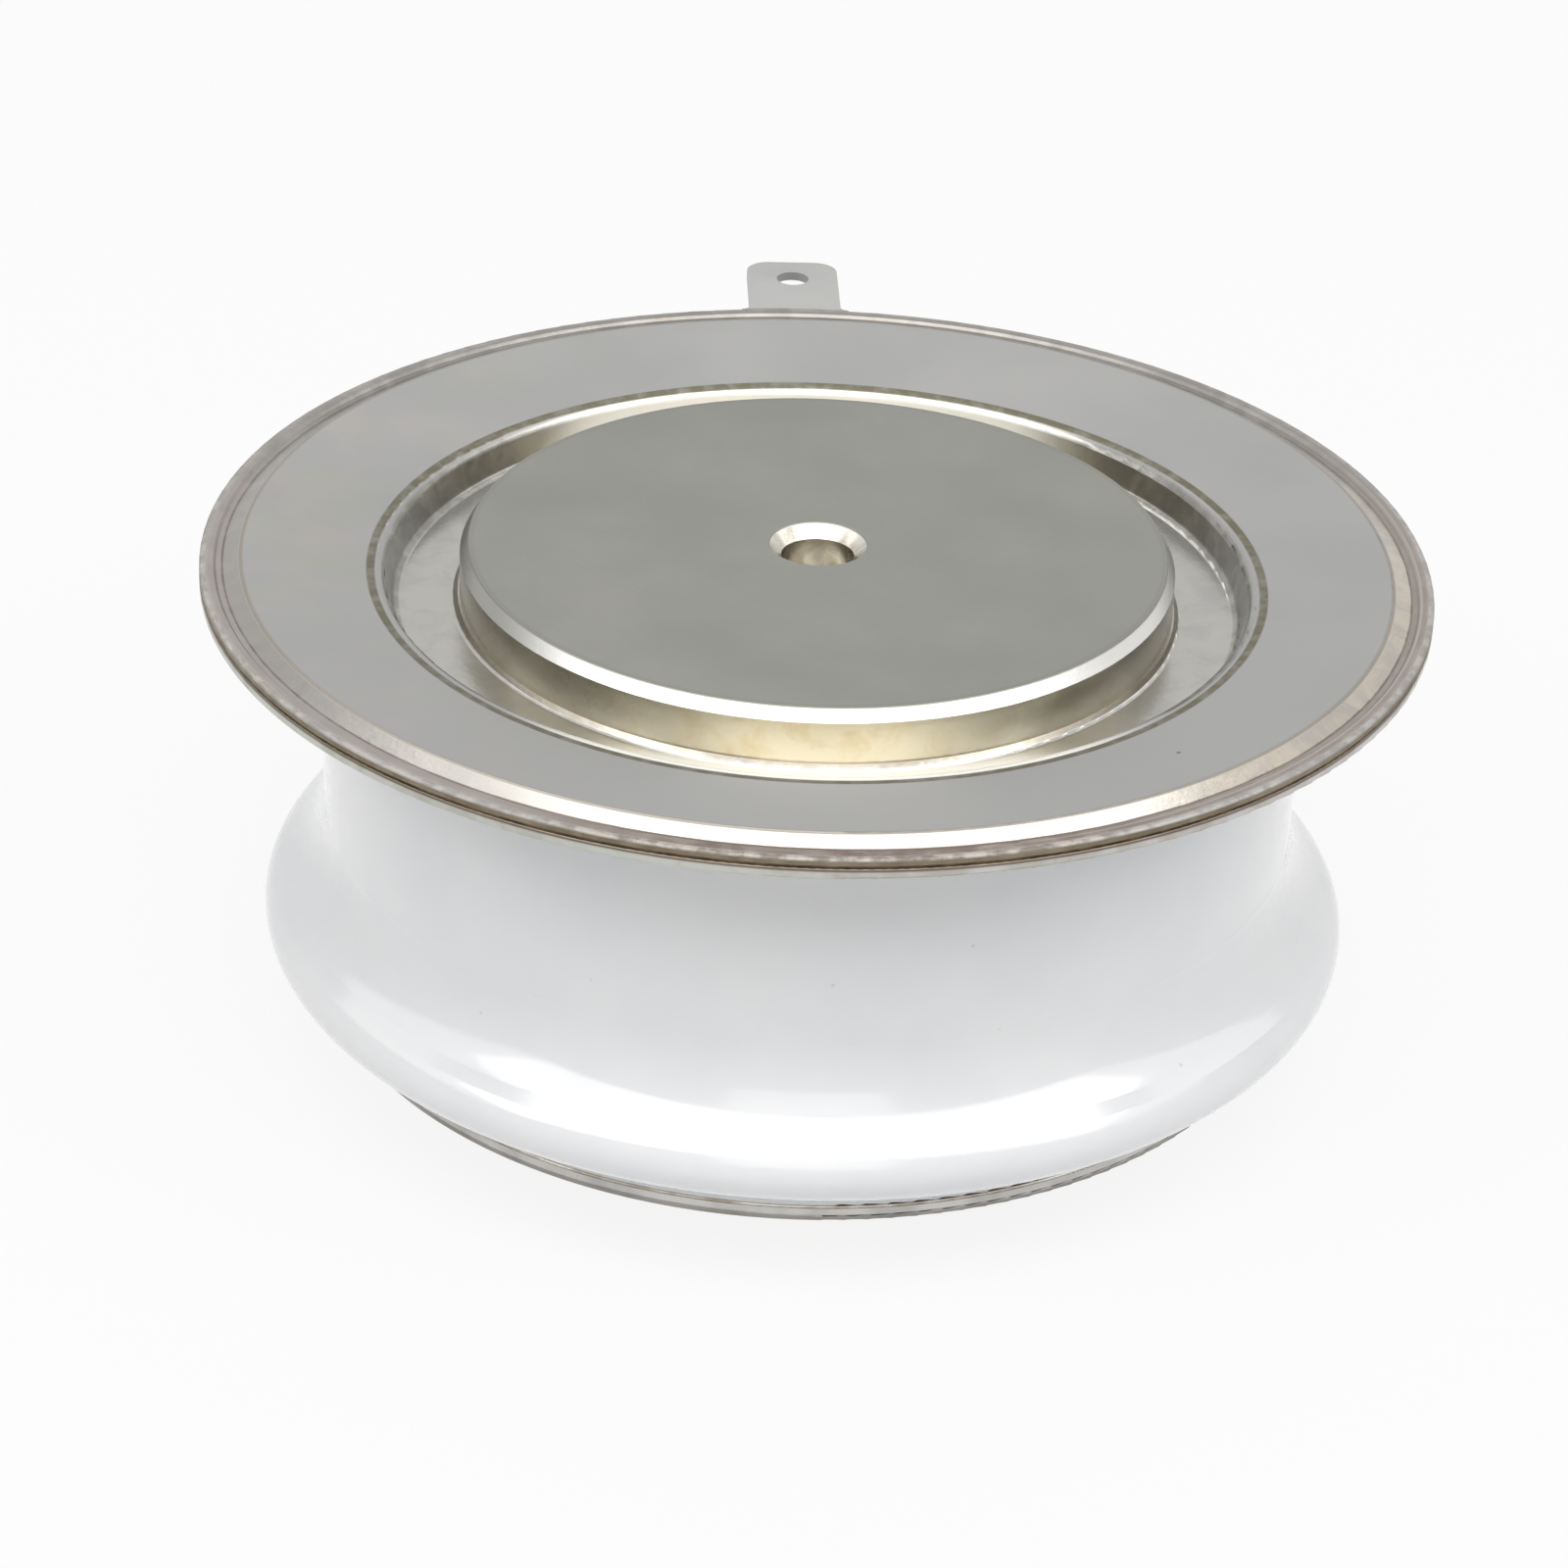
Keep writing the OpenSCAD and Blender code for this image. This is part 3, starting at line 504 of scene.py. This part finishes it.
    @staticmethod
    def weld_flange(tones):
        sheet = Finish("weld_flange_nickel", 1.0, 0.36)
        patch = sheet.noise(2.4 * MM, 4.0, 0.6, distortion=0.4)
        x = sheet.split()[0]
        tone = sheet.mix(sheet.span(x, -18 * MM, 18 * MM), tones.beige, (0.57, 0.55, 0.54))
        tone = sheet.mix(sheet.span(patch, 0.4, 0.7, 0.0, 0.6), tone, (0.37, 0.35, 0.29))
        z = sheet.height()
        seam = sheet.span(z, SEAM_Z - 0.26 * MM, SEAM_Z - 0.14 * MM)
        tone = sheet.mix(sheet.times(seam, 0.85), tone, (0.10, 0.07, 0.045))
        sheet.set("Base Color", tone)
        sheet.set("Roughness", sheet.span(patch, 0.3, 0.7, 0.3, 0.42))
        sheet.bump(0.01 * MM, (sheet.noise(0.3 * MM, 2.0), 0.6), (patch, 0.4))
        sheet.onto("weld_flange")


class THYRISTOR_OT_weld(Operator):
    """Lays the weld bead in the groove between the two rim plates"""
    bl_idname = "thyristor.weld"
    bl_label = "Weld the rim"

    def execute(self, context):
        seams = context.scene.thyristor_seams
        tones = context.scene.thyristor_finishes
        a = np.linspace(0.0, 2.0 * np.pi, 14, endpoint=False)
        reach = seams.bead_depth / 2
        section = np.stack((RIM_R - 1.4 * reach + reach * np.cos(a),
                            SEAM_Z + seams.bead_height / 2 * np.sin(a)), -1)
        swing = seams.ripple / reach
        bead = turned_ring("weld_bead", section, 4 * seams.ripples,
                           lambda t: 1.0 + swing * np.sin(seams.ripples * t) * (0.7 + 0.3 * np.sin(7 * t)))
        weld = Finish("weld_metal", 1.0, 0.3)
        patch = weld.noise(1.1 * MM, 3.0, distortion=0.5)
        weld.set("Base Color", weld.mottle(patch, tones.weld, (0.05, 0.033, 0.02)))
        weld.set("Roughness", weld.span(patch, 0.3, 0.7, 0.26, 0.45))
        weld.bump(0.01 * MM, (weld.noise(0.25 * MM, 2.0), 1.0))
        dress(bead, weld.material)
        return {"FINISHED"}


class THYRISTOR_OT_braze(Operator):
    """Runs a braze fillet round each end of the ceramic"""
    bl_idname = "thyristor.braze"
    bl_label = "Braze the ends"

    def execute(self, context):
        seams = context.scene.thyristor_seams
        tones = context.scene.thyristor_finishes
        braze = Finish("silver_braze", 1.0, 0.3)
        patch = braze.noise(1.4 * MM, 3.0)
        braze.set("Base Color", braze.mix(braze.span(patch, 0.35, 0.7), tones.braze, (0.40, 0.34, 0.27)))
        braze.set("Roughness", braze.span(patch, 0.3, 0.7, 0.22, 0.4))
        braze.bump(0.015 * MM, (braze.noise(0.6 * MM, 2.0), 1.0))
        a = np.linspace(0.0, np.pi / 2, 8)
        root = 0.2 * MM
        rows = (("upper_braze", CERAMIC_HIGH, -1.0, seams.neck_r, seams.neck_fillet),
                ("lower_braze", CERAMIC_LOW, 1.0, seams.foot_r, seams.foot_fillet))
        for name, end, way, outer, leg in rows:
            across = np.concatenate(([outer - root], outer + leg - leg * np.sin(a[::-1])))
            away = np.concatenate(([0.0], leg - leg * np.cos(a[::-1])))
            ring = turned_ring(name, np.stack((across, end + way * away), -1), 720)
            dress(ring, braze.material)
        return {"FINISHED"}


class THYRISTOR_OT_gate(Operator):
    """Finishes the gate tube and the pieces of the gate lead"""
    bl_idname = "thyristor.gate"
    bl_label = "Finish the gate"

    def execute(self, context):
        tones = context.scene.thyristor_finishes
        copper = Finish("drawn_copper", 1.0, 0.3)
        streak = copper.noise(0.9 * MM, 3.0)
        copper.set("Base Color", copper.mix(copper.span(streak, 0.35, 0.7), tones.copper, (0.40, 0.17, 0.10)))
        copper.set("Roughness", copper.span(streak, 0.3, 0.7, 0.22, 0.42))
        copper.bump(0.008 * MM, (copper.noise(0.2 * MM, 2.0), 1.0))
        copper.onto("gate_tube")
        steel = Finish("spring_steel", 1.0, 0.3)
        streak = steel.noise(0.8 * MM, 3.0)
        tone = steel.mottle(streak, (0.42, 0.43, 0.44), (0.26, 0.25, 0.24), high=0.7)
        steel.set("Base Color", tone)
        steel.set("Roughness", steel.span(streak, 0.3, 0.7, 0.24, 0.4))
        steel.bump(0.006 * MM, (steel.noise(0.2 * MM, 2.0), 1.0))
        steel.onto("gate_springs")
        waxy = Finish("waxy_white", 0.0, 0.45)
        cloud = waxy.noise(3 * MM, 3.0)
        waxy.set("Base Color", waxy.mix(waxy.span(cloud, 0.35, 0.7), (0.86, 0.85, 0.81), (0.77, 0.75, 0.70)))
        waxy.set("Roughness", waxy.span(cloud, 0.3, 0.7, 0.38, 0.55))
        waxy.set("Subsurface Weight", 0.1)
        waxy.bump(0.01 * MM, (waxy.noise(0.5 * MM, 2.0), 1.0))
        waxy.onto("gate_cup", "gate_sleeve", "locating_ring")
        return {"FINISHED"}


class THYRISTOR_OT_stack(Operator):
    """Finishes the junction stack: silver shims, lapped molybdenum, silicon and its rubber edge"""
    bl_idname = "thyristor.stack"
    bl_label = "Finish the junction stack"

    def execute(self, context):
        rows = (
            ("soft_silver", 1.0, (0.83, 0.82, 0.79), (0.66, 0.63, 0.58), (0.2, 0.34), 2.0 * MM,
             ("anode_shim", "cathode_shim", "gate_pin", "gate_lead")),
            ("lapped_molybdenum", 1.0, (0.30, 0.31, 0.33), (0.23, 0.235, 0.25), (0.34, 0.48), 1.5 * MM,
             ("anode_disc", "cathode_disc")),
            ("polished_silicon", 1.0, (0.13, 0.135, 0.16), (0.10, 0.105, 0.13), (0.06, 0.14), 6.0 * MM,
             ("silicon_wafer",)),
            ("cream_rubber", 0.0, (0.62, 0.58, 0.47), (0.52, 0.48, 0.38), (0.45, 0.62), 2.5 * MM,
             ("edge_rubber",)),
        )
        for name, metallic, pale, dark, (smooth, dull), size, pieces in rows:
            made = Finish(name, metallic, smooth)
            cloud = made.noise(size, 4.0)
            made.set("Base Color", made.mix(made.span(cloud, 0.35, 0.7), pale, dark))
            made.set("Roughness", made.span(cloud, 0.3, 0.7, smooth, dull))
            made.bump(0.008 * MM, (made.noise(0.25 * MM, 2.0), 0.7), (cloud, 0.3))
            made.onto(*pieces)
        return {"FINISHED"}


class THYRISTOR_OT_studio(Operator):
    """Sets a white floor, white surroundings, two softboxes, three panels and the camera"""
    bl_idname = "thyristor.studio"
    bl_label = "Set the studio"

    def execute(self, context):
        studio = context.scene.thyristor_studio
        context.scene.view_settings.view_transform = "Standard"
        self.surroundings(context, studio)
        self.ground(context, studio)
        middle = (0.0, 0.0, 0.02)
        for name, place, wide, deep, watts in (
                ("key_softbox", (0.0, -0.31, 0.58), 1.8, 0.45, studio.key),
                ("back_softbox", (0.0, 0.27, 0.58), 0.6, 0.32, studio.back),
                ("left_panel", (-0.75, 0.0, 0.5), 0.8, 0.3, studio.sides),
                ("right_panel", (0.75, 0.0, 0.5), 0.8, 0.3, studio.sides),
                ("front_panel", (0.0, -0.62, 0.36), 0.4, 0.3, studio.panel)):
            self.softbox(context, name, place, middle, wide, deep, watts)
        self.viewpoint(context, studio)
        return {"FINISHED"}

    @staticmethod
    def seen(tree):
        """1 on camera, glossy and transmission rays."""
        path = tree.nodes.new("ShaderNodeLightPath")
        total = path.outputs["Is Camera Ray"]
        for name in ("Is Glossy Ray", "Is Transmission Ray"):
            either = tree.nodes.new("ShaderNodeMath")
            either.operation = "MAXIMUM"
            tree.links.new(total, either.inputs[0])
            tree.links.new(path.outputs[name], either.inputs[1])
            total = either.outputs[0]
        return total

    def surroundings(self, context, studio):
        world = bpy.data.worlds.new("white_surroundings")
        context.scene.world = world
        world.use_nodes = True
        tree = world.node_tree
        strength = tree.nodes.new("ShaderNodeMapRange")
        tree.links.new(self.seen(tree), strength.inputs["Value"])
        strength.inputs["To Min"].default_value = studio.sky
        strength.inputs["To Max"].default_value = 1.0
        sky = tree.nodes["Background"]
        sky.inputs["Color"].default_value = (1.0, 1.0, 1.0, 1.0)
        tree.links.new(strength.outputs[0], sky.inputs["Strength"])

    def ground(self, context, studio):
        mesh = bpy.data.meshes.new("floor")
        half = 3.0
        corners = [(-half, -half, 0), (half, -half, 0), (half, half, 0), (-half, half, 0)]
        mesh.from_pydata(corners, [], [(0, 1, 2, 3)])
        ground = bpy.data.objects.new("floor", mesh)
        context.scene.collection.objects.link(ground)
        pale = bpy.data.materials.new("pale_floor")
        pale.use_nodes = True
        tree = pale.node_tree
        tree.nodes.clear()
        matte = tree.nodes.new("ShaderNodeBsdfDiffuse")
        matte.inputs["Color"].default_value = (studio.floor, studio.floor, studio.floor, 1.0)
        glow = tree.nodes.new("ShaderNodeEmission")
        share = tree.nodes.new("ShaderNodeMath")
        share.operation = "MULTIPLY"
        tree.links.new(self.seen(tree), share.inputs[0])
        share.inputs[1].default_value = studio.floor_glow
        both = tree.nodes.new("ShaderNodeMixShader")
        tree.links.new(share.outputs[0], both.inputs["Fac"])
        tree.links.new(matte.outputs[0], both.inputs[1])
        tree.links.new(glow.outputs[0], both.inputs[2])
        out = tree.nodes.new("ShaderNodeOutputMaterial")
        tree.links.new(both.outputs[0], out.inputs["Surface"])
        mesh.materials.append(pale)

    def softbox(self, context, name, place, target, wide, deep, watts):
        lamp = bpy.data.lights.new(name, "AREA")
        lamp.shape = "RECTANGLE"
        lamp.size, lamp.size_y, lamp.energy = wide, deep, watts
        box = bpy.data.objects.new(name, lamp)
        box.location = place
        box.rotation_mode = "QUATERNION"
        box.rotation_quaternion = (Vector(target) - Vector(place)).to_track_quat("-Z", "Y")
        context.scene.collection.objects.link(box)

    def viewpoint(self, context, studio):
        """The camera stands at its distance and elevation from the pivot, looks at the aim point, is
        rolled round its line of sight and then turned round the capsule's axis."""
        stand = studio.distance * Vector((0.0, -cos(studio.elevation), sin(studio.elevation)))
        forward = (Vector((studio.aim_x, 0.0, -studio.aim_drop)) - stand).normalized()
        right = forward.cross(Vector((0.0, 0.0, 1.0))).normalized()
        up = right.cross(forward)
        across = right * cos(studio.roll) + up * sin(studio.roll)
        upright = up * cos(studio.roll) - right * sin(studio.roll)
        pose = Matrix((across, upright, -forward)).transposed().to_4x4()
        pose.translation = stand
        data = bpy.data.cameras.new("camera")
        data.sensor_width = 36.0
        data.lens = studio.lens
        data.clip_start, data.clip_end = 0.01, 20.0
        camera = bpy.data.objects.new("camera", data)
        context.scene.collection.objects.link(camera)
        raised = Matrix.Translation((0.0, 0.0, studio.pivot))
        camera.matrix_world = raised @ Matrix.Rotation(studio.turn, 4, "Z") @ pose
        context.scene.camera = camera


class THYRISTOR_PT_sidebar(Panel):
    """Lists the pieces, their settings and the studio"""
    bl_idname = "THYRISTOR_PT_sidebar"
    bl_label = "Disc thyristor"
    bl_space_type = "VIEW_3D"
    bl_region_type = "UI"
    bl_category = "Thyristor"

    def draw(self, context):
        scene = context.scene
        for operator in OPERATORS:
            self.layout.operator(operator.bl_idname)
        for settings in (scene.thyristor_seams, scene.thyristor_finishes, scene.thyristor_studio):
            box = self.layout.box()
            for key in settings.__annotations__:
                box.prop(settings, key)


OPERATORS = (THYRISTOR_OT_ceramic, THYRISTOR_OT_poles, THYRISTOR_OT_flanges, THYRISTOR_OT_weld,
             THYRISTOR_OT_braze, THYRISTOR_OT_gate, THYRISTOR_OT_stack, THYRISTOR_OT_studio)
GROUPS = {"thyristor_seams": ThyristorSeams, "thyristor_finishes": ThyristorFinishes,
          "thyristor_studio": ThyristorStudio}


def register():
    for made in (*GROUPS.values(), *OPERATORS, THYRISTOR_PT_sidebar):
        bpy.utils.register_class(made)
    for name, group in GROUPS.items():
        setattr(bpy.types.Scene, name, PointerProperty(type=group))


def unregister():
    for name in GROUPS:
        delattr(bpy.types.Scene, name)
    for made in reversed((*GROUPS.values(), *OPERATORS, THYRISTOR_PT_sidebar)):
        bpy.utils.unregister_class(made)


def main():
    register()
    bpy.ops.thyristor.ceramic()
    bpy.ops.thyristor.poles()
    bpy.ops.thyristor.flanges()
    bpy.ops.thyristor.weld()
    bpy.ops.thyristor.braze()
    bpy.ops.thyristor.gate()
    bpy.ops.thyristor.stack()
    bpy.ops.thyristor.studio()


if __name__ == "__main__":
    main()
